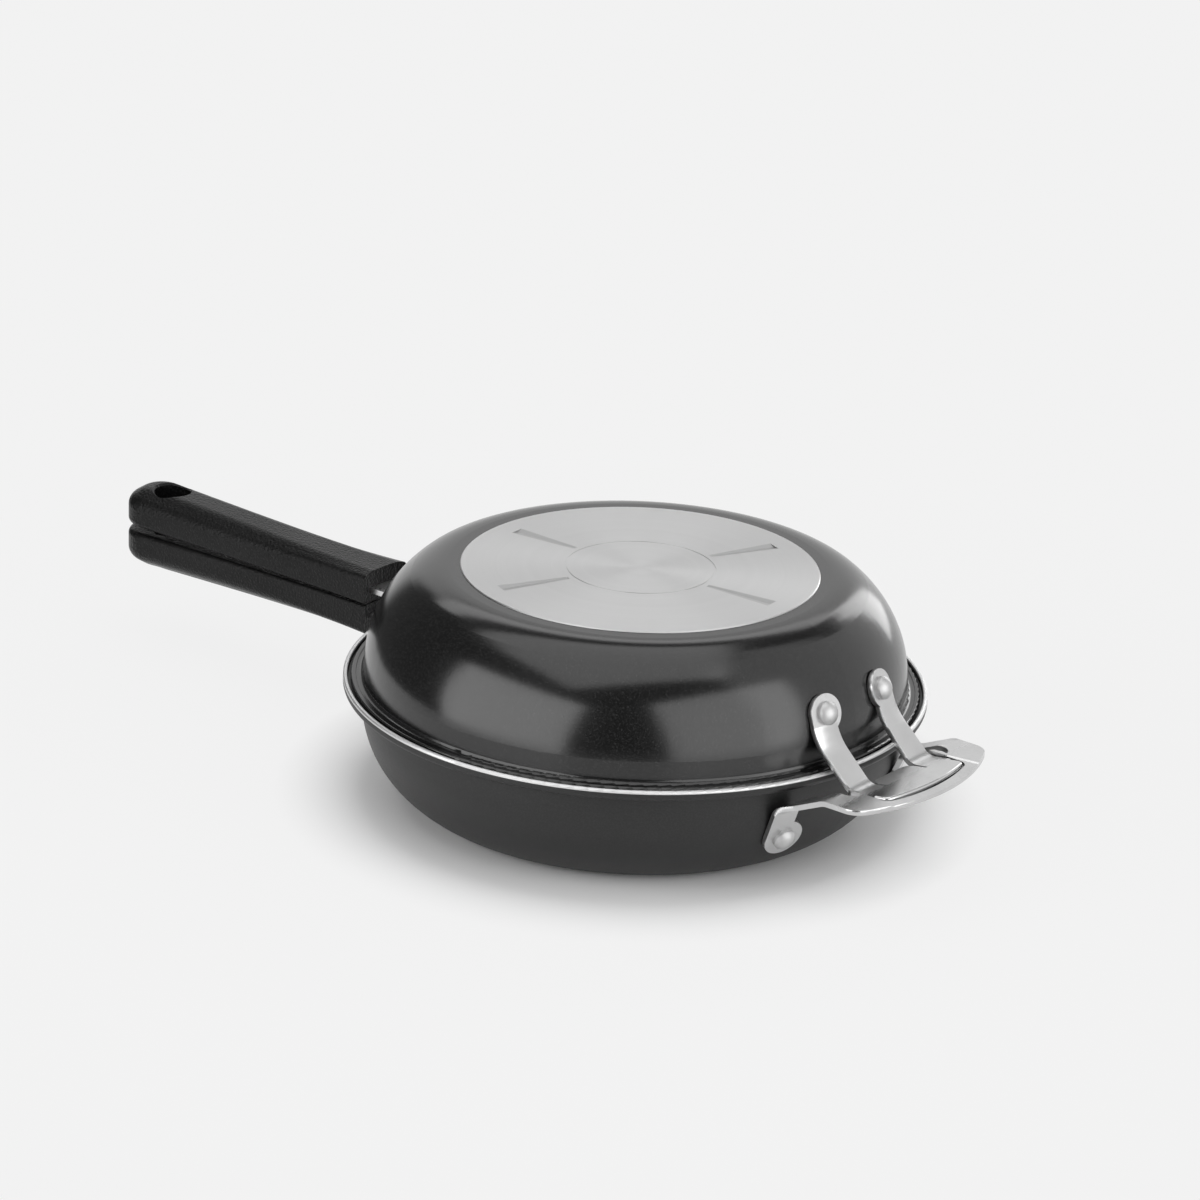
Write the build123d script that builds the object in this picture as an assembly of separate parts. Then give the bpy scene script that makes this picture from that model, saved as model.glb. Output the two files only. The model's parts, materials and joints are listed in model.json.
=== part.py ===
"""Frittata pan: two round pans that close rim to rim, hinged at their small helper handles.

Millimetres. +X points from the pans' middle to the helper handles, the long grips point along -X,
+Z is up, and the flat outer face of the lower base plate rests on z = 0.
Heights called "h" are measured from the rim plane: upwards on the upper pan, downwards on the lower.
"""
import os
from math import asin, cos, degrees, pi, radians, sin, sqrt, tan

from build123d import *

# Pans
RIM_Z = 55.0
SHEET = 2.6
RIM_R = 130.0
LOWER_H = 54.5
LOWER_STEP = 8.4
LOWER_WALL_H = 6.3
LOWER_KNEE_ARC = 23.5
LOWER_KNEE_ANGLE = 31.0
LOWER_SIDE_ARC = 46.3
LOWER_WALL_ANGLE = 88.0
UPPER_H = 52.3
UPPER_STEP = 8.6
UPPER_KNEE_ARC = 26.0
UPPER_KNEE_ANGLE = 38.5
UPPER_SIDE_ARC = 52.1
UPPER_WALL_ANGLE = 85.3

# Rims: the upper flange drops into the lower pan's stepped rim
LIP_THICKNESS = 2.0
LIP_RISE = 0.7
LEDGE_H = 2.0
LEDGE_THICKNESS = 2.4
RIM_SIDE_GAP = 1.4
RIM_REST_GAP = 0.2
FLANGE_TOP = 0.5
BEAD_WIDTH, BEAD_RISE = 2.4, 0.4
LEDGE_ROUND, BORE_ROUND, LIP_INNER_ROUND, LIP_OUTER_ROUND = 1.6, 0.5, 0.7, 1.0
RIM_UNDER_ROUND, RIM_NECK_ROUND = 2.2, 1.8
FLANGE_INNER_ROUND, FLANGE_EDGE_ROUND, BEAD_ROUND, BEAD_FOOT_ROUND = 1.5, 0.8, 1.0, 0.3
FLANGE_NECK_ROUND = 2.0

# Base plates
PLATE_R = 79.5
PLATE_THICKNESS = 1.4
PLATE_PROUD = 0.5
PLATE_EDGE = 0.4
PLATE_SEAT_GAP = 0.1
GROOVE_ANGLES = (4.0, 68.0, 182.0, 247.0)
GROOVE_INNER_R, GROOVE_OUTER_R = 36.0, 69.0
GROOVE_INNER_WIDTH, GROOVE_OUTER_WIDTH = 2.2, 7.4
GROOVE_INNER_DEPTH, GROOVE_OUTER_DEPTH = 0.25, 0.6
RING_R, RING_WIDTH, RING_DEPTH = 33.0, 0.8, 0.15

# Rivets
RIVET_SHANK_R = 2.5
RIVET_HEAD_R, RIVET_COLLAR, RIVET_DOME = 5.1, 1.6, 2.8
RIVET_FOOT_R, RIVET_FOOT_THICKNESS, RIVET_FOOT_ROUND = 5.6, 1.3, 0.8
RIVET_HOLE_DEPTH = 20.0
HELPER_SHEET = 2.3

# Upper helper handle
UP_RIVET_Y, UP_RIVET_H = 19.8, 22.2
UP_TAB_R = 8.5
UP_ARM_WIDTH = 13.5
UP_ARM_Y = 21.6
UP_ARM_SLOPE = 42.8
UP_ARM_BEND_R, UP_FOOT_BEND_R = 25.0, 7.0
UP_NOSE_X = RIM_R + 32.3
UP_NOSE_H = -2.9
UP_PLATE_R = 95.0
UP_PLATE_SLOPE = 8.4
UP_FOLD_X = UP_NOSE_X - 13.8
UP_ARM_FOOT_X = UP_NOSE_X - 22.1
UP_CORNER_R = 4.0
TONGUE_LENGTH, TONGUE_CORNER = 9.8, 5.0
TONGUE_SLIT = 1.2

# Lower helper handle
LOW_RIVET_Y, LOW_RIVET_H = 38.5, 29.5
LOW_TAB_R = 9.2
LOW_ARM_WIDTH = 12.0
LOW_HALF_WIDTH = 48.5
LOW_ARM_SLOPE = 24.5
LOW_ARM_RUN = 7.0
LOW_TOP_H = 2.8
LOW_BEND_X = RIM_R + 9.0
LOW_BEND_R, LOW_KNEE_R = 8.0, 5.0
LOW_INNER_X = RIM_R + 8.5
LOW_FRONT_X = UP_NOSE_X + 5.9
LOW_FRONT_R = 100.9
LOW_CORNER_R = 9.0
FINGER_GAP_X = RIM_R + 17.0
FINGER_CORNER_R = 6.0
TRAY_CORNER_R = 3.0
RECESS_SIDE_GAP = 1.1
RECESS_FLOOR_GAP = 0.2
RECESS_WALL = 2.0
BAND_DROP = 0.4
BAND_X_1, BAND_Y_1 = LOW_FRONT_X - 20.7, 30.2
BAND_X_2, BAND_Y_2 = LOW_FRONT_X - 2.2, 33.0

# Bends are made of flat facets, one to so many degrees
ARC_STEP = 5.0

# Grips
PARTING_Z = RIM_Z - 1.2
GRIP_MOUTH_X = -(RIM_R + 19.3)
GRIP_MOUTH_R = 110.0
GRIP_LENGTH = 142.4
GRIP_END_X = GRIP_MOUTH_X - GRIP_LENGTH
GRIP_HALF_WIDTHS = (14.6, 13.9, 14.8, 15.9)
GRIP_INNER_HEIGHTS = (0.4, 0.6, 1.0, 1.4)
GRIP_SIDE_HEIGHTS = (14.2, 12.6, 12.6, 14.0)
GRIP_CROWN_HALF_WIDTHS = (9.0, 8.0, 7.5, 7.5)
GRIP_CROWN_HEIGHTS = (15.4, 16.1, 18.0, 19.4)
GRIP_INNER_ROUNDS = (1.0, 1.5, 2.2, 2.8)
GRIP_SIDE_ROUNDS = (2.0, 4.0, 6.0, 6.5)
GRIP_CROWN_ROUNDS = (5.0, 6.0, 7.0, 8.0)
GRIP_PLACES = (0.0, 0.3, 0.69, 1.0)
HANG_X, HANG_R, HANG_EDGE = GRIP_END_X + 7.1, 8.8, 1.0

# Grip brackets and screws
BRACKET_SHEET = 2.5
BRACKET_WIDTH = 20.0
BRACKET_TAB_HALF_WIDTH = 17.0
BRACKET_TAB_H = 27.0
BRACKET_RIVET_Y, BRACKET_RIVET_H = 10.6, 19.5
BRACKET_BEND = 3.0
BRACKET_CORNER_R, TANG_CORNER_R = 5.0, 4.0
BRACKET_WALL_GAP = 0.1
TANG_FROM_PARTING = 5.0
TANG_LENGTH = 45.0
TANG_GAP = 0.1
SCREW_X = GRIP_MOUTH_X - 24.5
SCREW_R, SCREW_HEAD_R, SCREW_HEAD_H, SCREW_LENGTH = 2.0, 3.9, 2.0, 12.0
SCREW_SINK, SCREW_HOLE_GAP = 0.3, 0.25
SLOT_LENGTH, SLOT_WIDTH, SLOT_DEPTH = 4.6, 1.0, 1.0

# A length that no piece reaches, for the tools that cut them
REACH = 400.0


def bowl(outer_h, wall_r, wall_h, arc_1, angle_1, arc_2, angle_2):
    """Arc centres and end points of a bowl's outer surface, as (r, h)."""
    a1, a2 = radians(angle_1), radians(angle_2)
    end_h = outer_h - arc_1 * (1 - cos(a1)) - arc_2 * (cos(a1) - cos(a2))
    end_r = wall_r - (end_h - wall_h) / tan(a2)
    c2 = (end_r - arc_2 * sin(a2), end_h - arc_2 * cos(a2))
    c1 = (c2[0] - (arc_1 - arc_2) * sin(a1), c2[1] - (arc_1 - arc_2) * cos(a1))
    return {"c1": c1, "c2": c2, "r1": arc_1, "r2": arc_2, "a1": a1, "a2": a2, "h": outer_h}


LOWER = bowl(LOWER_H, RIM_R - LOWER_STEP, LOWER_WALL_H,
             LOWER_KNEE_ARC, LOWER_KNEE_ANGLE, LOWER_SIDE_ARC, LOWER_WALL_ANGLE)
UPPER = bowl(UPPER_H, RIM_R - UPPER_STEP, -FLANGE_TOP,
             UPPER_KNEE_ARC, UPPER_KNEE_ANGLE, UPPER_SIDE_ARC, UPPER_WALL_ANGLE)
LOWER["s"], UPPER["s"] = -1, 1


def wall_angle(b, h):
    """Slope of the outer wall from horizontal at height h."""
    along = (h - b["c2"][1]) / b["r2"]
    return b["a2"] if along < cos(b["a2"]) else pi / 2 - asin(along)


def wall_radius(b, h):
    a = wall_angle(b, h)
    if a < b["a2"]:
        return b["c2"][0] + b["r2"] * sin(a)
    end_r = b["c2"][0] + b["r2"] * sin(b["a2"])
    end_h = b["c2"][1] + b["r2"] * cos(b["a2"])
    return end_r + (end_h - h) / tan(b["a2"])


def wall_plane(b, azimuth, h):
    """Plane touching the outer wall: z out of the wall, x sideways, y up the wall."""
    a, r = wall_angle(b, h), wall_radius(b, h)
    return Plane(
        origin=(r * cos(azimuth), r * sin(azimuth), RIM_Z + b["s"] * h),
        x_dir=(-sin(azimuth), cos(azimuth), 0),
        z_dir=(sin(a) * cos(azimuth), sin(a) * sin(azimuth), b["s"] * cos(a)),
    )


def rivet_plane(b, side_y, h, behind=False):
    azimuth = asin(side_y / wall_radius(b, h))
    return wall_plane(b, pi - azimuth if behind else azimuth, h)


def bowl_points(b, inset):
    """Corner points of the bowl's surface, inset from the outer one: flat end, arc ends and middles, wall end."""
    def on(c, r, a):
        return (c[0] + (r - inset) * sin(a), c[1] + (r - inset) * cos(a))

    middle = (b["a1"] + b["a2"]) / 2
    return [
        on(b["c1"], b["r1"], 0),
        on(b["c1"], b["r1"], b["a1"] / 2),
        on(b["c1"], b["r1"], b["a1"]),
        on(b["c2"], b["r2"], middle),
        on(b["c2"], b["r2"], b["a2"]),
    ]


def profile_face(b, rim):
    """Half section of a pan as a face in the XZ plane; rim lists (r, h) from the inner wall to the outer."""
    def at(p):
        return (p[0], RIM_Z + b["s"] * p[1])

    inner = [at(p) for p in bowl_points(b, SHEET)]
    outer = [at(p) for p in bowl_points(b, 0)]
    rim = [at(p) for p in rim]
    edges = [
        Line((0, at((0, b["h"] - SHEET))[1]), inner[0]),
        ThreePointArc(inner[0], inner[1], inner[2]),
        ThreePointArc(inner[2], inner[3], inner[4]),
        Polyline(inner[4], *rim, outer[4]),
        ThreePointArc(outer[4], outer[3], outer[2]),
        ThreePointArc(outer[2], outer[1], outer[0]),
        Polyline(outer[0], (0, outer[0][1]), (0, at((0, b["h"] - SHEET))[1])),
    ]
    return make_face(Plane.XZ * (Curve() + edges))


def rounded(shape, corners):
    """Round the corners of a flat face in the XZ plane that lie at the given (x, z, radius)."""
    for x, z, radius in corners:
        corner = shape.vertices().sort_by_distance((x, 0, z))[0]
        shape = fillet(corner, radius)
    return shape


def inner_wall(b, h):
    a = b["a2"]
    p = bowl_points(b, SHEET)[4]
    return p[0] + (p[1] - h) / tan(a)


def lower_pan():
    b = LOWER
    bore_r = RIM_R - LIP_THICKNESS
    under_h = LEDGE_H + LEDGE_THICKNESS
    outer_r = wall_radius(b, under_h)
    ledge_r = inner_wall(b, LEDGE_H)
    rim = [(ledge_r, LEDGE_H), (bore_r, LEDGE_H), (bore_r, -LIP_RISE), (RIM_R, -LIP_RISE),
           (RIM_R, under_h), (outer_r, under_h)]
    face = profile_face(b, rim)
    face = rounded(face, [
        (ledge_r, RIM_Z - LEDGE_H, LEDGE_ROUND),
        (bore_r, RIM_Z - LEDGE_H, BORE_ROUND),
        (bore_r, RIM_Z + LIP_RISE, LIP_INNER_ROUND),
        (RIM_R, RIM_Z + LIP_RISE, LIP_OUTER_ROUND),
        (RIM_R, RIM_Z - under_h, RIM_UNDER_ROUND),
        (outer_r, RIM_Z - under_h, RIM_NECK_ROUND),
    ])
    body = revolve(face, Axis.Z, 360)
    body -= plate_seat(b)
    for plane in [rivet_plane(b, y, LOW_RIVET_H) for y in (-LOW_RIVET_Y, LOW_RIVET_Y)]:
        body -= plane * Cylinder(RIVET_SHANK_R, RIVET_HOLE_DEPTH)
    for plane in [rivet_plane(b, y, BRACKET_RIVET_H, True) for y in (-BRACKET_RIVET_Y, BRACKET_RIVET_Y)]:
        body -= plane * Cylinder(RIVET_SHANK_R, RIVET_HOLE_DEPTH)
    return body


def upper_pan():
    b = UPPER
    flange_r = RIM_R - LIP_THICKNESS - RIM_SIDE_GAP
    bottom = RIM_REST_GAP - LEDGE_H
    bead_top = FLANGE_TOP + BEAD_RISE
    bead_r = flange_r - BEAD_WIDTH
    inner_r = inner_wall(b, bottom)
    outer_r = wall_radius(b, FLANGE_TOP)
    rim = [(inner_r, bottom), (flange_r, bottom), (flange_r, bead_top), (bead_r, bead_top),
           (bead_r, FLANGE_TOP), (outer_r, FLANGE_TOP)]
    face = profile_face(b, rim)
    face = rounded(face, [
        (inner_r, RIM_Z + bottom, FLANGE_INNER_ROUND),
        (flange_r, RIM_Z + bottom, FLANGE_EDGE_ROUND),
        (flange_r, RIM_Z + bead_top, BEAD_ROUND),
        (bead_r, RIM_Z + bead_top, BEAD_FOOT_ROUND),
        (outer_r, RIM_Z + FLANGE_TOP, FLANGE_NECK_ROUND),
    ])
    body = revolve(face, Axis.Z, 360)
    body -= plate_seat(b)
    for plane in [rivet_plane(b, y, UP_RIVET_H) for y in (-UP_RIVET_Y, UP_RIVET_Y)]:
        body -= plane * Cylinder(RIVET_SHANK_R, RIVET_HOLE_DEPTH)
    for plane in [rivet_plane(b, y, BRACKET_RIVET_H, True) for y in (-BRACKET_RIVET_Y, BRACKET_RIVET_Y)]:
        body -= plane * Cylinder(RIVET_SHANK_R, RIVET_HOLE_DEPTH)
    return body


def plate_seat(b):
    """The round recess in a pan's base that holds its base plate."""
    depth = PLATE_THICKNESS - PLATE_PROUD
    z = RIM_Z + b["s"] * (b["h"] - depth / 2 + 0.5)
    return Pos(0, 0, z) * Cylinder(PLATE_R + PLATE_SEAT_GAP, depth + 1)


def base_plate(b):
    """Bare metal disc let into the base, with a faint ring and four pressed radial grooves."""
    plate = Pos(0, 0, -PLATE_THICKNESS / 2) * Cylinder(PLATE_R, PLATE_THICKNESS)
    plate = chamfer(plate.edges().group_by(Axis.Z)[-1], PLATE_EDGE)
    groove = loft([
        groove_section(GROOVE_INNER_R, GROOVE_INNER_WIDTH, GROOVE_INNER_DEPTH),
        groove_section(GROOVE_OUTER_R, GROOVE_OUTER_WIDTH, GROOVE_OUTER_DEPTH),
    ], ruled=True)
    for angle in GROOVE_ANGLES:
        plate -= Rot(0, 0, angle) * groove
    ring = Circle(RING_R + RING_WIDTH / 2) - Circle(RING_R - RING_WIDTH / 2)
    plate -= extrude(ring, RING_DEPTH, both=True)
    face_z = RIM_Z + b["s"] * (b["h"] + PLATE_PROUD)
    if b["s"] > 0:
        return Pos(0, 0, face_z) * plate
    return Pos(0, 0, face_z) * Rot(180, 0, 0) * plate


def groove_section(r, width, depth):
    """V-shaped section of a groove at radius r, twice as wide at twice its depth above the plate's face."""
    triangle = Polyline((0, -depth), (width, depth), (-width, depth), close=True)
    return Plane(origin=(r, 0, 0), x_dir=(0, 1, 0), z_dir=(1, 0, 0)) * make_face(triangle)


def arc_path(points, radii, step):
    """Points and directions along a polyline in XZ with its corners rounded."""
    stations = []
    for i, (x, z) in enumerate(points):
        if i == 0 or i == len(points) - 1:
            a, b = (points[0], points[1]) if i == 0 else (points[-2], points[-1])
            length = sqrt((b[0] - a[0]) ** 2 + (b[1] - a[1]) ** 2)
            stations.append((x, z, (b[0] - a[0]) / length, (b[1] - a[1]) / length))
            continue
        before, after = Vector(*points[i - 1]), Vector(*points[i + 1])
        here = Vector(x, z)
        d1, d2 = (here - before).normalized(), (after - here).normalized()
        radius = radii[i - 1]
        if radius == 0:
            stations.append((x, z, d2.X, d2.Y))
            continue
        turn = radians(d1.get_angle(d2))
        sign = 1 if d1.X * d2.Y - d1.Y * d2.X > 0 else -1
        start = here - d1 * (radius * tan(turn / 2))
        centre = start + Vector(-d1.Y, d1.X) * (radius * sign)
        count = max(2, round(degrees(turn) / step))
        for k in range(count + 1):
            t = sign * turn * k / count
            d = Vector(d1.X * cos(t) - d1.Y * sin(t), d1.X * sin(t) + d1.Y * cos(t))
            p = centre - Vector(-d.Y, d.X) * (radius * sign)
            stations.append((p.X, p.Y, d.X, d.Y))
    return stations


def strip_section(x, y, z, dx, dz, azimuth, width, thickness):
    """Cross-section of a bent strip: its reference side passes through the point, and its metal lies to that
    side of it that the sign of thickness gives."""
    across = Vector(-sin(azimuth), cos(azimuth), 0)
    along = Vector(dx, dx * tan(azimuth), dz).normalized()
    normal = along.cross(across) * thickness
    here = Vector(x, y, z)
    half = across * (width / 2)
    corners = [here - half, here + half, here + half + normal, here - half + normal]
    return make_face(Polyline(*corners, close=True))


def upper_plate_outline(grow, back):
    """Outline of the upper handle's plate, on the plane tilted with it; its nose is at u = sheet / 2."""
    nose = HELPER_SHEET / 2
    half = UP_ARM_Y + UP_ARM_WIDTH / 2 + grow
    disc = Pos(nose - UP_PLATE_R, 0) * Circle(UP_PLATE_R + grow)
    outline = disc & Pos(back + REACH / 2, 0) * Rectangle(REACH, 2 * half)
    corners = outline.vertices().group_by(Axis.X)[-1]
    return fillet(corners, UP_CORNER_R + grow)


def hinge_plane():
    tilt = radians(UP_PLATE_SLOPE)
    return Plane(
        origin=(UP_NOSE_X - HELPER_SHEET / 2, 0, RIM_Z + UP_NOSE_H),
        x_dir=(cos(tilt), 0, sin(tilt)),
        z_dir=(-sin(tilt), 0, cos(tilt)),
    )


def plate_u(x):
    """Distance along the tilted plate, from the hinge line, of a point at x."""
    return (x - (UP_NOSE_X - HELPER_SHEET / 2)) / cos(radians(UP_PLATE_SLOPE))


def upper_helper_handle():
    b = UPPER
    half = HELPER_SHEET / 2
    hinge = hinge_plane()
    outline = upper_plate_outline(0, plate_u(UP_FOLD_X))
    tongue_half = UP_ARM_Y - UP_ARM_WIDTH / 2 - TONGUE_SLIT
    tongue = Pos(plate_u(UP_FOLD_X) - TONGUE_LENGTH / 2 + 1, 0) * Rectangle(TONGUE_LENGTH + 2, 2 * tongue_half)
    tongue = fillet(tongue.vertices().group_by(Axis.X)[0], TONGUE_CORNER)
    slab = extrude(outline + tongue, half, both=True)
    front = slab.edges().filter_by(lambda e: abs((e @ 0.5).Z) > half * 0.9)
    front = front.filter_by(lambda e: (e @ 0.5).X > plate_u(UP_FOLD_X) + 2)
    slab = fillet(front, half * 0.95)
    plate = hinge.location * slab
    arms = []
    for side in (1, -1):
        azimuth = asin(UP_RIVET_Y / wall_radius(b, UP_RIVET_H))
        tab = wall_plane(b, azimuth, UP_RIVET_H)
        top = tab.origin + tab.z_dir * HELPER_SHEET + tab.x_dir * (UP_TAB_R - UP_ARM_WIDTH / 2)
        down = -tab.y_dir
        foot = hinge.origin + hinge.x_dir * plate_u(UP_ARM_FOOT_X) + hinge.z_dir * half
        end = hinge.origin + hinge.x_dir * (plate_u(UP_FOLD_X) + 3) + hinge.z_dir * half
        middle = (-cos(radians(UP_ARM_SLOPE)), sin(radians(UP_ARM_SLOPE)))
        bend = crossing((top.X, top.Z), (down.X, down.Z), (foot.X, foot.Z), middle)
        corners = [(top.X, top.Z), bend, (foot.X, foot.Z), (end.X, end.Z)]
        path = arc_path(corners, [UP_ARM_BEND_R, UP_FOOT_BEND_R], ARC_STEP)
        sections = []
        first, last = path[1][0], foot.X - 4
        for x, z, dx, dz in path:
            y = top.Y + (min(x, first) - top.X) * down.Y / down.X
            twist = min(max((x - first) / (last - first), 0), 1)
            y += (UP_ARM_Y - y) * twist
            sections.append(strip_section(x, y, z, dx, dz, azimuth * (1 - twist), UP_ARM_WIDTH, -HELPER_SHEET))
        arm = loft(sections, ruled=True)
        disc = extrude(tab * Circle(UP_TAB_R), HELPER_SHEET)
        arm = arm + disc - tab * Cylinder(RIVET_SHANK_R, RIVET_HOLE_DEPTH)
        arms.append(arm if side > 0 else mirror(arm, Plane.XZ))
    return plate + arms[0] + arms[1]


def crossing(p, d, q, e):
    """Where the line through p along d meets the line through q along e."""
    det = d[0] * e[1] - d[1] * e[0]
    t = ((q[0] - p[0]) * e[1] - (q[1] - p[1]) * e[0]) / det
    return (p[0] + d[0] * t, p[1] + d[1] * t)


def lower_plan():
    """Plan of the lower helper handle's bent sheet: outer edge less the finger gap."""
    disc = Pos(LOW_FRONT_X - LOW_FRONT_R, 0) * Circle(LOW_FRONT_R)
    plan = disc & Pos(REACH / 2, 0) * Rectangle(REACH, 2 * LOW_HALF_WIDTH)
    plan = fillet(plan.vertices().group_by(Axis.X)[-1], LOW_CORNER_R)
    return plan - finger_gap()


def finger_gap():
    """Plan of the opening between the loop and the pan; the tray stands back into its middle."""
    gap_half = LOW_HALF_WIDTH - LOW_ARM_WIDTH
    gap = Pos(FINGER_GAP_X - REACH / 2, 0) * Rectangle(REACH, 2 * gap_half)
    gap = fillet(gap.vertices().group_by(Axis.X)[-1], FINGER_CORNER_R)
    tray_half = UP_ARM_Y + UP_ARM_WIDTH / 2 + RECESS_SIDE_GAP + RECESS_WALL
    tray = Pos(LOW_INNER_X + REACH / 2, 0) * Rectangle(REACH, 2 * tray_half)
    return gap - fillet(tray.vertices().group_by(Axis.X)[0], TRAY_CORNER_R)


def lower_helper_handle():
    b = LOWER
    top_z = RIM_Z - LOW_TOP_H
    slope = radians(LOW_ARM_SLOPE)
    azimuth = asin(LOW_RIVET_Y / wall_radius(b, LOW_RIVET_H))
    tab = wall_plane(b, azimuth, LOW_RIVET_H)
    side_shift = LOW_TAB_R - LOW_ARM_WIDTH / 2
    start = tab.origin + tab.x_dir * side_shift
    up = tab.y_dir
    bend_point = (LOW_BEND_X, top_z)
    knee = crossing((start.X, start.Z), (up.X, up.Z), bend_point, (-cos(slope), -sin(slope)))
    root_x = knee[0] + LOW_ARM_RUN
    far_x = LOW_FRONT_X + REACH
    t = HELPER_SHEET
    under = t * tan(slope / 2)
    root_z = top_z - (LOW_BEND_X - root_x) * tan(slope)
    points = [
        (root_x, root_z), (LOW_BEND_X, top_z), (far_x, top_z), (far_x, top_z - t),
        (LOW_BEND_X + under, top_z - t), (root_x + t * sin(slope), root_z - t * cos(slope)),
    ]
    side = make_face(Plane.XZ * Polyline(*points, close=True))
    side = rounded(side, [(LOW_BEND_X, top_z, LOW_BEND_R + t), (LOW_BEND_X + under, top_z - t, LOW_BEND_R)])
    sheet = extrude(side, LOW_HALF_WIDTH + 2, both=True)
    sheet &= extrude(lower_plan(), REACH)

    hinge = hinge_plane()
    floor = -HELPER_SHEET / 2 - RECESS_FLOOR_GAP
    back = plate_u(LOW_INNER_X) - LOW_CORNER_R
    hole = hinge.location * Pos(0, 0, floor) * extrude(upper_plate_outline(RECESS_SIDE_GAP, back), REACH)
    tray = hinge.location * Pos(0, 0, floor - t) * extrude(
        upper_plate_outline(RECESS_SIDE_GAP + RECESS_WALL, back), REACH)
    tray &= Pos(LOW_INNER_X + REACH / 2, 0, top_z - t / 2 - REACH / 2) * Box(REACH, REACH, REACH)
    body = sheet + tray - hole

    band = Polyline((BAND_X_1, -BAND_Y_1), (BAND_X_2, -BAND_Y_2), (far_x, -BAND_Y_2), (far_x, BAND_Y_2),
                    (BAND_X_2, BAND_Y_2), (BAND_X_1, BAND_Y_1), close=True)
    body -= Pos(0, 0, top_z - BAND_DROP) * extrude(make_face(band), REACH)

    arm_y = LOW_HALF_WIDTH - LOW_ARM_WIDTH / 2
    end_x = root_x + t
    end_z = root_z + t * tan(slope)
    corners = [(start.X, start.Z), knee, (root_x, root_z), (end_x, end_z)]
    path = arc_path(corners, [LOW_KNEE_R + t, 0], ARC_STEP)
    sections = []
    first = path[1][0]
    for x, z, dx, dz in path:
        y = start.Y + (min(x, first) - start.X) * up.Y / up.X
        turn = min(max((x - first) / (root_x - first), 0), 1)
        y += (arm_y - y) * turn
        sections.append(strip_section(x, y, z, dx, dz, azimuth * (1 - turn), LOW_ARM_WIDTH, -t))
    strip = loft(sections, ruled=True)
    strip += extrude(tab * Circle(LOW_TAB_R), t)
    strip -= tab * Cylinder(RIVET_SHANK_R, RIVET_HOLE_DEPTH)
    body = body + strip + mirror(strip, Plane.XZ)
    return body - extrude(finger_gap() & Pos(RIM_R + REACH / 2, 0) * Rectangle(REACH, REACH), REACH)


def rivet(plane, pan, sheet, clamped):
    """Domed rivet through a pan's wall; its heads are pressed to the surfaces they clamp."""
    dome_r = (RIVET_HEAD_R ** 2 + RIVET_DOME ** 2) / (2 * RIVET_DOME)
    top = sheet + RIVET_COLLAR + RIVET_DOME
    head = Pos(0, 0, top / 2) * Cylinder(RIVET_HEAD_R, top)
    head &= Pos(0, 0, top - dome_r) * Sphere(dome_r)
    head -= Box(2 * RIVET_FOOT_R, 2 * RIVET_FOOT_R, 2 * (sheet - RIVET_COLLAR / 2))
    shank = Pos(0, 0, (sheet - SHEET) / 2) * Cylinder(RIVET_SHANK_R, sheet + SHEET + RIVET_COLLAR)
    foot_h = RIVET_FOOT_THICKNESS + RIVET_FOOT_ROUND
    foot = Pos(0, 0, foot_h / 2 - SHEET - RIVET_FOOT_THICKNESS) * Cylinder(RIVET_FOOT_R, foot_h)
    foot = fillet(foot.edges().group_by(Axis.Z)[0], RIVET_FOOT_ROUND)
    body = plane * (head + shank + foot)
    body -= clamped
    body -= pan
    pieces = body.solids().sort_by(SortBy.VOLUME)
    return pieces[-1]


def grip_section(i, x):
    """Section of the upper grip at x: flat inside, upright sides, sloping shoulders and a flat crown."""
    inner = (GRIP_HALF_WIDTHS[i], GRIP_INNER_HEIGHTS[i])
    side = (GRIP_HALF_WIDTHS[i], GRIP_SIDE_HEIGHTS[i])
    crown = (GRIP_CROWN_HALF_WIDTHS[i], GRIP_CROWN_HEIGHTS[i])
    left = [(-u, v) for u, v in (crown, side, inner)]
    shape = make_face(Polyline(inner, side, crown, *left, close=True))
    rounds = (GRIP_INNER_ROUNDS[i], GRIP_SIDE_ROUNDS[i], GRIP_CROWN_ROUNDS[i])
    for (u, v), radius in zip((inner, side, crown), rounds):
        for sign in (1, -1):
            shape = fillet(shape.vertices().sort_by_distance((sign * u, v))[0], radius)
    return Plane(origin=(x, 0, PARTING_Z), x_dir=(0, 1, 0), z_dir=(1, 0, 0)) * shape


def tang_box(gap):
    """The space of the bracket's tang in the upper grip, grown by a gap."""
    length = TANG_LENGTH + gap + GRIP_MOUTH_R
    z = PARTING_Z + TANG_FROM_PARTING + BRACKET_SHEET / 2
    x = GRIP_MOUTH_X - TANG_LENGTH - gap + length / 2
    return Pos(x, 0, z) * Box(length, BRACKET_WIDTH + 2 * gap, BRACKET_SHEET + 2 * gap)


def grip_x(place):
    """Place along the grip, 0 just inside the mouth's curve and 1 at the middle of the round end."""
    start = GRIP_MOUTH_X + GRIP_HALF_WIDTHS[0] / 4
    return start + place * (GRIP_END_X - start)


def upper_grip():
    sections = [grip_section(i, grip_x(place)) for i, place in enumerate(GRIP_PLACES)]
    body = loft(sections[::-1])
    half_end = sections[-1] & Pos(GRIP_END_X, REACH / 2, PARTING_Z) * Box(REACH, REACH, REACH)
    cap = revolve(half_end, Axis((GRIP_END_X, 0, 0), (0, 0, 1)), 180)
    body += cap
    mouth_cut = Pos(GRIP_MOUTH_X + GRIP_MOUTH_R, 0, PARTING_Z) * Cylinder(GRIP_MOUTH_R, REACH)
    body -= mouth_cut
    body -= Pos(HANG_X, 0, PARTING_Z) * Cylinder(HANG_R, REACH)
    body = chamfer(hang_edges(body, True), HANG_EDGE)
    body = chamfer(hang_edges(body, False), HANG_EDGE)
    body -= tang_box(TANG_GAP)
    return body - screw_blank()


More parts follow.
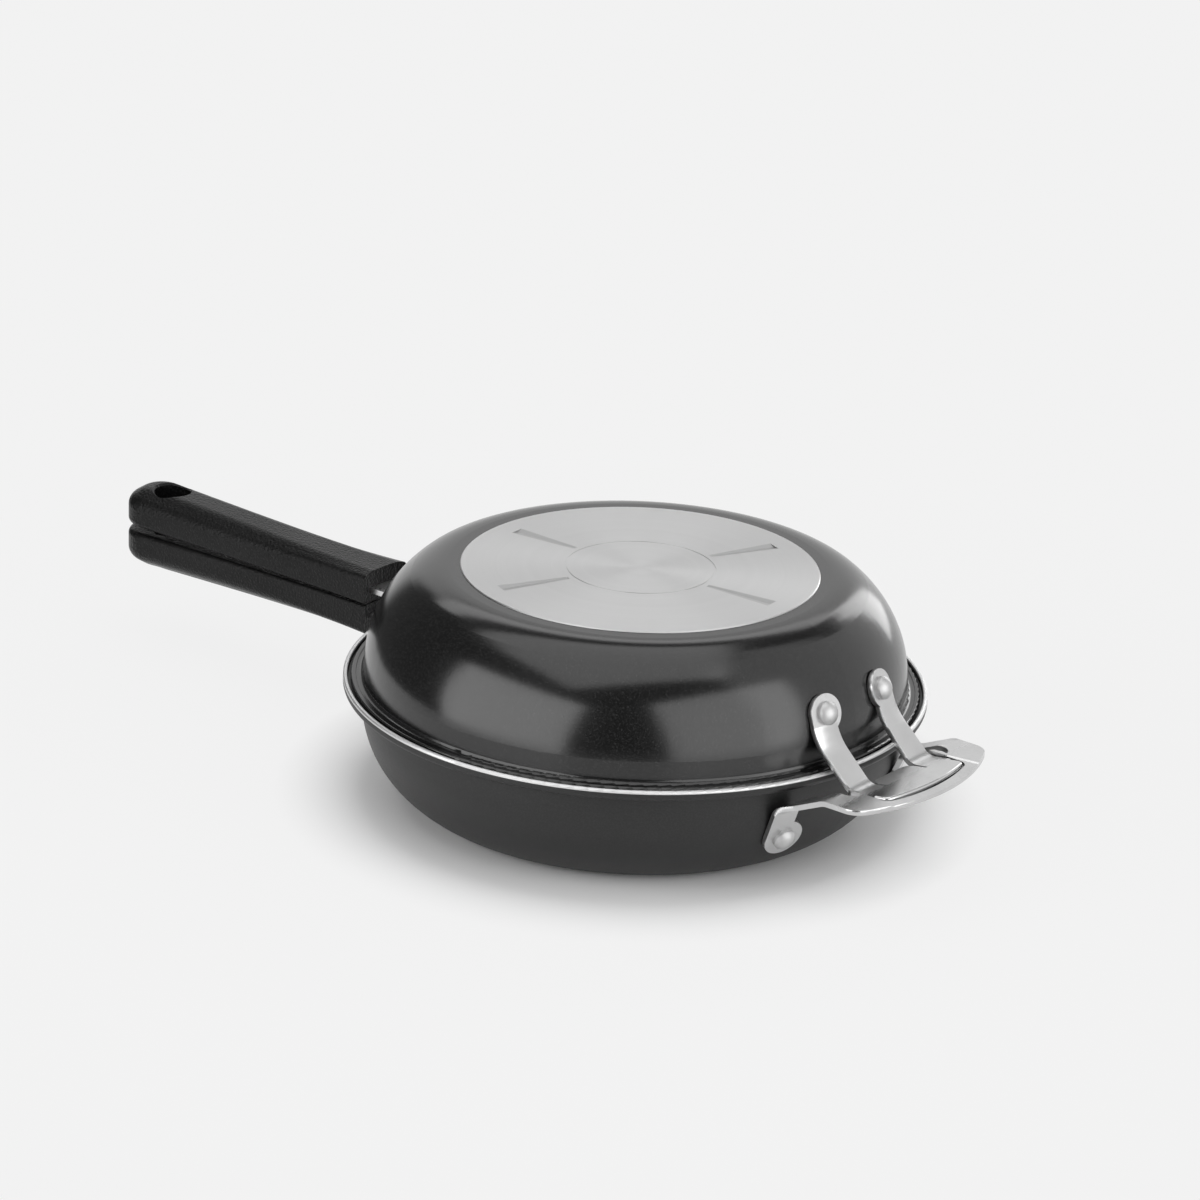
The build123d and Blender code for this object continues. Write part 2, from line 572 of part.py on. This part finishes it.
def hang_edges(body, outer):
    """Edges of the hang hole on the grip's outer side, or on its inner side."""
    middle = PARTING_Z + GRIP_CROWN_HEIGHTS[-1] / 2

    def on_hole(edge):
        radii = [sqrt(((edge @ t).X - HANG_X) ** 2 + (edge @ t).Y ** 2) for t in (0, 0.3, 0.7, 1)]
        level = edge.geom_type != GeomType.LINE and ((edge @ 0.5).Z > middle) == outer
        return level and all(abs(r - HANG_R) < 0.01 for r in radii)

    return body.edges().filter_by(on_hole)


def inner_face_z(x):
    """Height of the upper grip's inner face at x, near the mouth."""
    start, waist = grip_x(GRIP_PLACES[0]), grip_x(GRIP_PLACES[1])
    t = (x - start) / (waist - start)
    return PARTING_Z + GRIP_INNER_HEIGHTS[0] + t * (GRIP_INNER_HEIGHTS[1] - GRIP_INNER_HEIGHTS[0])


def screw_blank():
    """Countersunk screw shape that goes up into the upper grip from its inner face."""
    head = Pos(0, 0, SCREW_HEAD_H / 2) * Cone(SCREW_HEAD_R, SCREW_R, SCREW_HEAD_H)
    rim = Pos(0, 0, -SCREW_HEAD_H / 2) * Cylinder(SCREW_HEAD_R, SCREW_HEAD_H)
    shank = Pos(0, 0, SCREW_LENGTH / 2) * Cylinder(SCREW_R, SCREW_LENGTH)
    return Pos(SCREW_X, 0, inner_face_z(SCREW_X) + SCREW_SINK) * (head + rim + shank)


def upper_grip_screw():
    head_face = Pos(SCREW_X, 0, inner_face_z(SCREW_X) + SCREW_SINK)
    body = screw_blank() & head_face * Pos(0, 0, SCREW_LENGTH) * Box(REACH, REACH, 2 * SCREW_LENGTH)
    slot = Box(SLOT_LENGTH, SLOT_WIDTH, 2 * SLOT_DEPTH) + Box(SLOT_WIDTH, SLOT_LENGTH, 2 * SLOT_DEPTH)
    return body - head_face * slot


def handle_bracket(b):
    """Formed steel bracket: a tab riveted to the wall and a flat tang that runs into the grip."""
    s = b["s"]
    parting_h = s * (PARTING_Z - RIM_Z)
    near = parting_h + TANG_FROM_PARTING
    far = near + BRACKET_SHEET
    bend_outer = BRACKET_BEND + BRACKET_SHEET
    low, high = near + bend_outer, BRACKET_TAB_H
    wall_x = wall_radius(b, low) + BRACKET_WALL_GAP
    tab_top = low + BRACKET_BEND
    tip_x = -GRIP_MOUTH_X + TANG_LENGTH

    def at(x, h):
        return (-x, RIM_Z + s * h)

    side = make_face(Plane.XZ * Polyline(
        at(wall_x, tab_top), at(wall_x + BRACKET_SHEET, tab_top), at(wall_x + BRACKET_SHEET, far),
        at(tip_x, far), at(tip_x, near), at(wall_x, near), close=True))
    corner, heel = at(wall_x + BRACKET_SHEET, far), at(wall_x, near)
    side = rounded(side, [(corner[0], corner[1], BRACKET_BEND), (heel[0], heel[1], bend_outer)])
    body = extrude(side, BRACKET_WIDTH / 2, both=True)
    tip = body.edges().filter_by(Axis.Z).group_by(Axis.X)[0]
    body = fillet(tip, TANG_CORNER_R)

    tab = wall_shell(b, low, high, BRACKET_SHEET)
    middle = RIM_Z + s * (low + high) / 2
    window = RectangleRounded(2 * BRACKET_TAB_HALF_WIDTH, (high - low) * 0.99, BRACKET_CORNER_R)
    tab &= Pos(-wall_x, 0, middle) * Rot(0, 90, 0) * Rot(0, 0, 90) * extrude(window, REACH / 4, both=True)
    body += tab
    body -= Pos(SCREW_X, 0, RIM_Z) * Cylinder(SCREW_R + SCREW_HOLE_GAP, REACH)
    for y in (-BRACKET_RIVET_Y, BRACKET_RIVET_Y):
        body -= rivet_plane(b, y, BRACKET_RIVET_H, True) * Cylinder(RIVET_SHANK_R, RIVET_HOLE_DEPTH)
    return body


def wall_shell(b, low, high, thickness):
    """A sector of sheet that lies on the outer wall behind, between two heights."""
    def on(extra, h):
        a = wall_angle(b, h)
        return (wall_radius(b, h) + extra * sin(a), RIM_Z + b["s"] * (h + extra * cos(a)))

    arc_from = max(low, b["c2"][1] + b["r2"] * cos(b["a2"]))
    middle = (arc_from + high) / 2
    edges = [
        ThreePointArc(on(0, arc_from), on(0, middle), on(0, high)),
        Line(on(0, high), on(thickness, high)),
        ThreePointArc(on(thickness, high), on(thickness, middle), on(thickness, arc_from)),
    ]
    if arc_from > low:
        edges += [Line(on(thickness, arc_from), on(thickness, low)), Line(on(0, low), on(0, arc_from))]
    edges.append(Line(on(thickness, low), on(0, low)))
    face = make_face(Plane.XZ * (Curve() + edges))
    half = 2 * degrees(asin(BRACKET_TAB_HALF_WIDTH / wall_radius(b, high)))
    return Rot(0, 0, 180 - half) * revolve(face, Axis.Z, 2 * half)


def flip_grip(body):
    """The lower grip's pieces mirror the upper's in the parting plane."""
    return mirror(body, Plane.XY.offset(PARTING_Z))


def main():
    os.makedirs("parts", exist_ok=True)
    pans = {"lower": lower_pan(), "upper": upper_pan()}
    bowls = {"lower": LOWER, "upper": UPPER}
    helpers = {"lower": lower_helper_handle(), "upper": upper_helper_handle()}
    helper_rivets = {"lower": (LOW_RIVET_Y, LOW_RIVET_H), "upper": (UP_RIVET_Y, UP_RIVET_H)}
    grip, screw = upper_grip(), upper_grip_screw()
    nodes = {}
    for name in ("lower", "upper"):
        b, pan, helper = bowls[name], pans[name], helpers[name]
        bracket = handle_bracket(b)
        nodes[name + "_pan"] = pan
        nodes[name + "_base_plate"] = base_plate(b)
        nodes[name + "_helper_handle"] = helper
        nodes[name + "_handle_bracket"] = bracket
        nodes[name + "_grip"] = grip if name == "upper" else flip_grip(grip)
        nodes[name + "_grip_screw"] = screw if name == "upper" else flip_grip(screw)
        y, h = helper_rivets[name]
        for side, sign in (("left", 1), ("right", -1)):
            nodes[name + "_helper_rivet_" + side] = rivet(rivet_plane(b, sign * y, h), pan, HELPER_SHEET, helper)
            nodes[name + "_bracket_rivet_" + side] = rivet(
                rivet_plane(b, sign * BRACKET_RIVET_Y, BRACKET_RIVET_H, True), pan, BRACKET_SHEET, bracket)
    for name, shape in nodes.items():
        export_step(shape, "parts/" + name + ".step")


if __name__ == "__main__":
    main()
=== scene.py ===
"""Looks of a frittata pan: coated bowls, turned base plates, stamped helper handles and moulded grips.

Metres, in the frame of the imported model: +X towards the helper handles, -X along the grips, +Z up.
Angles are in degrees unless they are wrapped in radians(), and noise scales are per metre.
"""
import json
from math import cos, pi, radians, sin, tan

import bpy
from mathutils import Matrix, Vector


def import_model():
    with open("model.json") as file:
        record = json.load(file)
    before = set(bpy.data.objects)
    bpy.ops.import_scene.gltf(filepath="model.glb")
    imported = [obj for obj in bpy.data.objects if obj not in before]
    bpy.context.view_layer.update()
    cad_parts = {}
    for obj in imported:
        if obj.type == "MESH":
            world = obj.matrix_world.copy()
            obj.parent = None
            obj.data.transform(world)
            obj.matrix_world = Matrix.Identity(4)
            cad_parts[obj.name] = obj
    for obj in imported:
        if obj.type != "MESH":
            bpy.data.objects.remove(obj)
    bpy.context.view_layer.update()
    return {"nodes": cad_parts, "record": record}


MM = 0.001

# Camera, from the fit to both rims and the base disc of the photograph
VIEW_TURN = radians(38.0)
VIEW_RISE = radians(20.65)
VIEW_ROLL = radians(2.37)
VIEW_DISTANCE = 2.0
VIEW_AIM_SHIFT, VIEW_AIM_Z = -17.2 * MM, 91.5 * MM
LENS, SENSOR = 135.71, 36.0

# Studio: a dim room whose two pale walls are a low backdrop behind and a tall one on the right.
# Walls: azimuth of the middle, half width, top
BACKGROUND = 0.887
PALE_WALL, DIM_ROOM = 0.66, 0.1
BACKDROP = (173.0, 70.0, 31.0)
RIGHT_WALL = (130.0, 36.0, 64.0)
WALL_SIDE_SOFTNESS, WALL_TOP_SOFTNESS = 6.0, 3.0

# Lamps, in angles seen from the pan: azimuth, elevation, width and height, then brightness
LAMP_DISTANCE = 1.6
LAMPS = {
    "left_box": (-17.0, 13.0, 58.0, 50.0, 2.6),
    "right_box": (80.0, 16.0, 58.0, 58.0, 1.95),
    "top_box": (-35.0, 83.0, 60.0, 60.0, 1.4),
    "back_strip": (224.0, 42.0, 56.0, 12.0, 1.6),
    "edge_strip": (186.0, 15.0, 14.0, 34.0, 2.4),
}

# Floor: it glows in the background's colour outside the pan's shadow, and fully so at its edge
FLOOR_RADIUS, FLOOR_TONE = 0.5, 0.87
SHADOW_NEAR, SHADOW_FAR, SHADOW_LEFT = 0.12, 0.16, 0.07
FLOOR_FADE_START, FLOOR_FADE_END = 0.3, 0.46

# Places in the model
RIM_Z = 55.0 * MM
BARE_BEAD_FROM_Z, BEAD_BORDER = 54.35 * MM, 0.05 * MM
POLISHED_FROM_X, POLISHED_BORDER = 146.0 * MM, 3.0 * MM
EDGE_ROUNDING, EDGE_ANGLE = 0.35 * MM, radians(40.0)

# Pressed grooves of the upper base plate, darkened in the disc's colour as painted shade; the lower one's are
# their mirror image
GROOVE_ANGLES = (4.0, 68.0, 182.0, 247.0)
GROOVE_START, GROOVE_END = 36.0 * MM, 69.0 * MM
GROOVE_HALF_WIDTHS = (1.4 * MM, 3.6 * MM)
GROOVE_SIDE_BORDER = (-0.5 * MM, 0.3 * MM)
GROOVE_START_BORDER, GROOVE_END_BORDER = 1.0 * MM, 0.5 * MM
# Painted shade: inside the grooves the disc's colour is multiplied by this
GROOVE_SHADE_TONE = 0.72

# Most noise lies between these values
NOISE_MIDDLE = (0.3, 0.7)


def grey(value):
    return (value, value, value, 1.0)


class Graph:
    """Short calls that add the nodes of a material or a world and join them."""

    def __init__(self, tree):
        self.nodes, self.links = tree.nodes, tree.links

    def feed(self, socket, value):
        """Joins the socket to the value where that is a socket too, and sets it otherwise."""
        if isinstance(value, bpy.types.NodeSocket):
            self.links.new(value, socket)
        else:
            socket.default_value = value

    def fill(self, node, inputs):
        for key, value in inputs.items():
            self.feed(node.inputs[key.replace("_", " ")], value)

    def add(self, kind, **inputs):
        node = self.nodes.new(kind)
        self.fill(node, inputs)
        return node

    def coordinates(self, kind="Object"):
        return self.add("ShaderNodeTexCoord").outputs[kind]

    def axis(self, name):
        return self.add("ShaderNodeSeparateXYZ", Vector=self.coordinates()).outputs[name]

    def stretched(self, *scale):
        return self.add("ShaderNodeMapping", Vector=self.coordinates(), Scale=scale).outputs["Vector"]

    def noise(self, scale, detail, vector=None):
        where = vector or self.coordinates()
        return self.add("ShaderNodeTexNoise", Vector=where, Scale=scale, Detail=detail).outputs["Fac"]

    def ramp(self, value, low, high, low_out=0.0, high_out=1.0, steps="LINEAR"):
        node = self.add("ShaderNodeMapRange", Value=value, From_Min=low, From_Max=high)
        node.interpolation_type = steps
        self.fill(node, {"To Min": low_out, "To Max": high_out})
        return node.outputs["Result"]

    def vary(self, noise, low, high):
        """A value that wanders from low to high with the noise."""
        return self.ramp(noise, *NOISE_MIDDLE, low, high)

    def math(self, operation, first, second=0.0):
        node = self.nodes.new("ShaderNodeMath")
        node.operation = operation
        self.feed(node.inputs[0], first)
        self.feed(node.inputs[1], second)
        return node.outputs[0]

    def vector(self, operation, first, second=(0.0, 0.0, 0.0), output="Vector"):
        node = self.nodes.new("ShaderNodeVectorMath")
        node.operation = operation
        self.feed(node.inputs[0], first)
        self.feed(node.inputs[1], second)
        return node.outputs[output]

    def rays(self, *kinds):
        """1 for rays of these kinds, 0 for all others."""
        path = self.add("ShaderNodeLightPath").outputs
        found = 0.0
        for kind in kinds:
            found = self.math("MAXIMUM", path[f"Is {kind} Ray"], found)
        return found

    def mix(self, factor, first, second):
        """The first shader where the factor is 0, the second where it is 1."""
        node = self.add("ShaderNodeMixShader", Fac=factor)
        self.links.new(first.outputs[0], node.inputs[1])
        self.links.new(second.outputs[0], node.inputs[2])
        return node.outputs[0]


class Shader(Graph):
    """A material with a principled surface."""

    def __init__(self, name):
        self.material = bpy.data.materials.new(name)
        self.material.use_nodes = True
        super().__init__(self.material.node_tree)
        self.surface = self.nodes["Principled BSDF"]

    def set(self, **inputs):
        self.fill(self.surface, inputs)

    def bump(self, height, distance, strength):
        return self.add("ShaderNodeBump", Height=height, Distance=distance, Strength=strength).outputs["Normal"]

    def finish_with(self, shader):
        self.links.new(shader, self.nodes["Material Output"].inputs["Surface"])


def coating_upper():
    """Glossy black non-stick coat with a fine fleck."""
    s = Shader("upper_coating")
    fleck = s.noise(1500.0, 1.0)
    cloud = s.noise(9.0, 2.0)
    s.set(
        Base_Color=s.ramp(fleck, 0.5, 0.75, 0.003, 0.02),
        Roughness=s.vary(cloud, 0.16, 0.2),
        IOR=1.6,
        Normal=s.bump(fleck, 0.03 * MM, 0.25),
    )
    return s.material


def coating_lower():
    """Dark grey coat, nearly matte, with bare turned metal on the bead of the rim."""
    s = Shader("lower_coating")
    fleck = s.noise(1300.0, 2.0)
    s.set(
        Base_Color=s.ramp(fleck, 0.4, 0.7, 0.005, 0.013),
        Roughness=s.vary(fleck, 0.42, 0.5),
        IOR=1.5,
        Normal=s.bump(fleck, 0.02 * MM, 0.3),
    )
    bead = s.add("ShaderNodeBsdfPrincipled", Base_Color=grey(0.7), Metallic=1.0, Roughness=0.45)
    bare = s.ramp(s.axis("Z"), BARE_BEAD_FROM_Z - BEAD_BORDER, BARE_BEAD_FROM_Z + BEAD_BORDER)
    s.finish_with(s.mix(bare, s.surface, bead))
    return s.material


def turned_metal(name, turn):
    """Bare base disc, turned on a lathe: fine rings, a highlight across them and pressed grooves darkened by
    painted shade.
    """
    s = Shader(name)
    flat = s.vector("MULTIPLY", s.coordinates(), (1.0, 1.0, 0.0))
    radius = s.vector("LENGTH", flat, output="Value")
    rings = s.add("ShaderNodeCombineXYZ", X=radius).outputs[0]
    fine = s.noise(2600.0, 2.0, rings)
    broad = s.noise(220.0, 2.0, rings)
    groove_shade = 0.0
    for angle in GROOVE_ANGLES:
        groove_shade = s.math("MAXIMUM", groove_shade_mask(s, flat, radians(angle * turn)), groove_shade)
    tangent = s.add("ShaderNodeTangent")
    tangent.direction_type = "RADIAL"
    tangent.axis = "Z"
    s.set(
        # Painted shade: the base colour is darker inside the pressed grooves
        Base_Color=s.math("MULTIPLY", s.vary(broad, 0.56, 0.58), s.ramp(groove_shade, 0.0, 1.0, 1.0, GROOVE_SHADE_TONE)),
        Roughness=s.vary(fine, 0.36, 0.44),
        Metallic=1.0,
        Anisotropic=0.7,
        Anisotropic_Rotation=0.25,
        Tangent=tangent.outputs[0],
        Normal=s.bump(fine, 0.02 * MM, 0.2),
    )
    return s.material


def groove_shade_mask(s, flat, angle):
    """1 inside a groove that runs outwards at this angle and widens, 0 beside it: where painted shade darkens the
    disc.
    """
    along = s.vector("DOT_PRODUCT", flat, (cos(angle), sin(angle), 0.0), "Value")
    beside = s.math("ABSOLUTE", s.vector("DOT_PRODUCT", flat, (-sin(angle), cos(angle), 0.0), "Value"))
    half_width = s.ramp(along, GROOVE_START, GROOVE_END, *GROOVE_HALF_WIDTHS)
    inside = s.ramp(s.math("SUBTRACT", beside, half_width), *GROOVE_SIDE_BORDER, 1.0, 0.0)
    started = s.ramp(along, GROOVE_START - GROOVE_START_BORDER, GROOVE_START + GROOVE_START_BORDER)
    ended = s.ramp(along, GROOVE_END - GROOVE_END_BORDER, GROOVE_END + GROOVE_END_BORDER, 1.0, 0.0)
    return s.math("MULTIPLY", inside, s.math("MULTIPLY", started, ended))


def stamped_steel():
    """Stainless sheet with a faint grain, satin on the arms and polished on the plate and the loop."""
    s = Shader("helper_steel")
    grain = s.noise(1.0, 2.0, s.stretched(2400.0, 300.0, 2400.0))
    patch = s.noise(60.0, 2.0)
    satin = s.ramp(s.axis("X"), POLISHED_FROM_X, POLISHED_FROM_X + POLISHED_BORDER, 0.1, 0.0)
    s.set(
        Base_Color=s.vary(patch, 0.56, 0.62),
        Roughness=s.math("ADD", s.vary(grain, 0.18, 0.24), satin),
        Metallic=1.0,
        Normal=s.bump(grain, 0.01 * MM, 0.06),
    )
    return s.material


def satin_metal(name, darkest, palest, roughness):
    """Plain satin metal for rivets, brackets and screws."""
    s = Shader(name)
    patch = s.noise(300.0, 3.0)
    s.set(
        Base_Color=s.vary(patch, darkest, palest),
        Roughness=s.vary(patch, roughness - 0.04, roughness + 0.04),
        Metallic=1.0,
    )
    return s.material


def moulded_grip():
    """Satin black phenolic with a fine moulded skin."""
    s = Shader("grip_black")
    skin = s.noise(850.0, 2.0)
    wear = s.noise(1.0, 3.0, s.stretched(18.0, 60.0, 60.0))
    s.set(
        Base_Color=s.vary(wear, 0.003, 0.006),
        Roughness=s.vary(wear, 0.27, 0.33),
        IOR=1.27,
        Normal=s.bump(skin, 0.5 * MM, 1.0),
    )
    return s.material


def paint(obj, material):
    obj.data.materials.clear()
    obj.data.materials.append(material)


def soften_edges(obj):
    """Rounds the stamped sheet's sharp edges, as polishing does."""
    weld = obj.modifiers.new("weld", "WELD")
    weld.merge_threshold = 0.01 * MM
    bevel = obj.modifiers.new("bevel", "BEVEL")
    bevel.width = EDGE_ROUNDING
    bevel.segments = 2
    bevel.limit_method = "ANGLE"
    bevel.angle_limit = EDGE_ANGLE
    bevel.harden_normals = True


def dress(frame):
    """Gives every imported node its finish."""
    nodes = frame["nodes"]
    finishes = {
        "upper_coating": coating_upper(),
        "lower_coating": coating_lower(),
        "base_metal": turned_metal("base_metal", 1),
        "helper_steel": stamped_steel(),
        "rivet_metal": satin_metal("rivet_metal", 0.5, 0.58, 0.48),
        "bracket_steel": satin_metal("bracket_steel", 0.6, 0.7, 0.3),
        "screw_steel": satin_metal("screw_steel", 0.5, 0.6, 0.35),
        "grip_black": moulded_grip(),
    }
    for part in frame["record"]["subparts"]:
        paint(nodes[part["node"]], finishes[part["material_slot"]])
    paint(nodes["lower_base_plate"], turned_metal("lower_base_metal", -1))
    for name in ("upper_helper_handle", "lower_helper_handle"):
        soften_edges(nodes[name])


def add_camera():
    """The photograph's place: right of the front, a little above, with a long lens."""
    back = Vector((sin(VIEW_TURN) * cos(VIEW_RISE), -cos(VIEW_TURN) * cos(VIEW_RISE), sin(VIEW_RISE)))
    level = Vector((cos(VIEW_TURN), sin(VIEW_TURN), 0.0))
    upright = back.cross(level)
    right = level * cos(VIEW_ROLL) + upright * sin(VIEW_ROLL)
    up = upright * cos(VIEW_ROLL) - level * sin(VIEW_ROLL)
    aim = level * VIEW_AIM_SHIFT + Vector((0.0, 0.0, VIEW_AIM_Z))
    data = bpy.data.cameras.new("camera")
    data.lens = LENS
    data.sensor_width = SENSOR
    camera = bpy.data.objects.new("camera", data)
    place = Matrix((right, up, back)).transposed().to_4x4()
    place.translation = aim + back * VIEW_DISTANCE
    camera.matrix_world = place
    bpy.context.scene.collection.objects.link(camera)
    bpy.context.scene.camera = camera


def compass(azimuth, elevation=0.0):
    """Direction from the pan; azimuth runs from the front to the right, as the view's does."""
    a, e = radians(azimuth), radians(elevation)
    return Vector((sin(a) * cos(e), -cos(a) * cos(e), sin(e)))


def add_lamp(name, azimuth, elevation, wide, high, brightness):
    """A rectangular soft box that faces the pan and shines as brightly as a surface of that tone."""
    back = compass(azimuth, elevation)
    width, height = (2 * LAMP_DISTANCE * tan(radians(angle / 2)) for angle in (wide, high))
    data = bpy.data.lights.new(name, "AREA")
    data.shape = "RECTANGLE"
    data.size, data.size_y = width, height
    data.energy = brightness * width * height * pi
    lamp = bpy.data.objects.new(name, data)
    lamp.rotation_euler = back.to_track_quat("Z", "Y").to_euler()
    lamp.location = Vector((0.0, 0.0, RIM_Z)) + back * LAMP_DISTANCE
    lamp.visible_camera = False
    bpy.context.scene.collection.objects.link(lamp)


def add_world():
    """The room. Camera rays see the background's colour all round, and metal shows it where a wall stands."""
    world = bpy.data.worlds.new("studio")
    bpy.context.scene.world = world
    world.use_nodes = True
    g = Graph(world.node_tree)
    direction = g.coordinates("Generated")
    level = g.vector("NORMALIZE", g.vector("MULTIPLY", direction, (1.0, 1.0, 0.0)))
    rise = g.vector("DOT_PRODUCT", direction, (0.0, 0.0, 1.0), "Value")

    def wall(azimuth, half_width, top):
        """1 on a pale wall, 0 beside and above it."""
        towards = g.vector("DOT_PRODUCT", level, compass(azimuth), "Value")
        outer, inner = half_width + WALL_SIDE_SOFTNESS, half_width - WALL_SIDE_SOFTNESS
        low, high = top - WALL_TOP_SOFTNESS, top + WALL_TOP_SOFTNESS
        across = g.ramp(towards, cos(radians(outer)), cos(radians(inner)), steps="SMOOTHSTEP")
        below = g.ramp(rise, sin(radians(low)), sin(radians(high)), 1.0, 0.0, "SMOOTHSTEP")
        return g.math("MULTIPLY", across, below)

    walls = g.math("MAXIMUM", wall(*BACKDROP), wall(*RIGHT_WALL))
    room = g.nodes["Background"]
    g.fill(room, {"Color": grey(1.0), "Strength": g.ramp(walls, 0.0, 1.0, DIM_ROOM, PALE_WALL, "SMOOTHSTEP")})
    background = g.add("ShaderNodeBackground", Color=grey(BACKGROUND))
    mirrored = g.math("MULTIPLY", g.rays("Glossy", "Transmission"), walls)
    shown = g.math("MAXIMUM", g.rays("Camera"), mirrored)
    g.links.new(g.mix(shown, room, background), g.nodes["World Output"].inputs["Surface"])


def add_floor():
    """Pale floor; it keeps the pan's shadow and fades into the background's colour further out."""
    bpy.ops.object.select_all(action="DESELECT")
    bpy.ops.mesh.primitive_circle_add(vertices=96, radius=FLOOR_RADIUS, fill_type="NGON")
    floor = bpy.context.object
    floor.name = "floor"
    s = Shader("floor")
    s.set(Base_Color=grey(FLOOR_TONE), Roughness=0.9, Specular_IOR_Level=0.1)
    distance = s.vector("LENGTH", s.coordinates(), output="Value")
    beyond_shadow = s.ramp(distance, SHADOW_NEAR, SHADOW_FAR, 0.0, 1.0 - SHADOW_LEFT)
    near_edge = s.ramp(distance, FLOOR_FADE_START, FLOOR_FADE_END, 0.0, SHADOW_LEFT)
    shown = s.math("MULTIPLY", s.math("ADD", beyond_shadow, near_edge), s.rays("Camera", "Glossy", "Transmission"))
    glow = s.add("ShaderNodeEmission", Color=grey(BACKGROUND), Strength=1.0)
    s.finish_with(s.mix(shown, s.surface, glow))
    paint(floor, s.material)


def main():
    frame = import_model()
    dress(frame)
    add_floor()
    add_world()
    for name, values in LAMPS.items():
        add_lamp(name, *values)
    add_camera()
    bpy.context.scene.view_settings.view_transform = "Standard"


main()
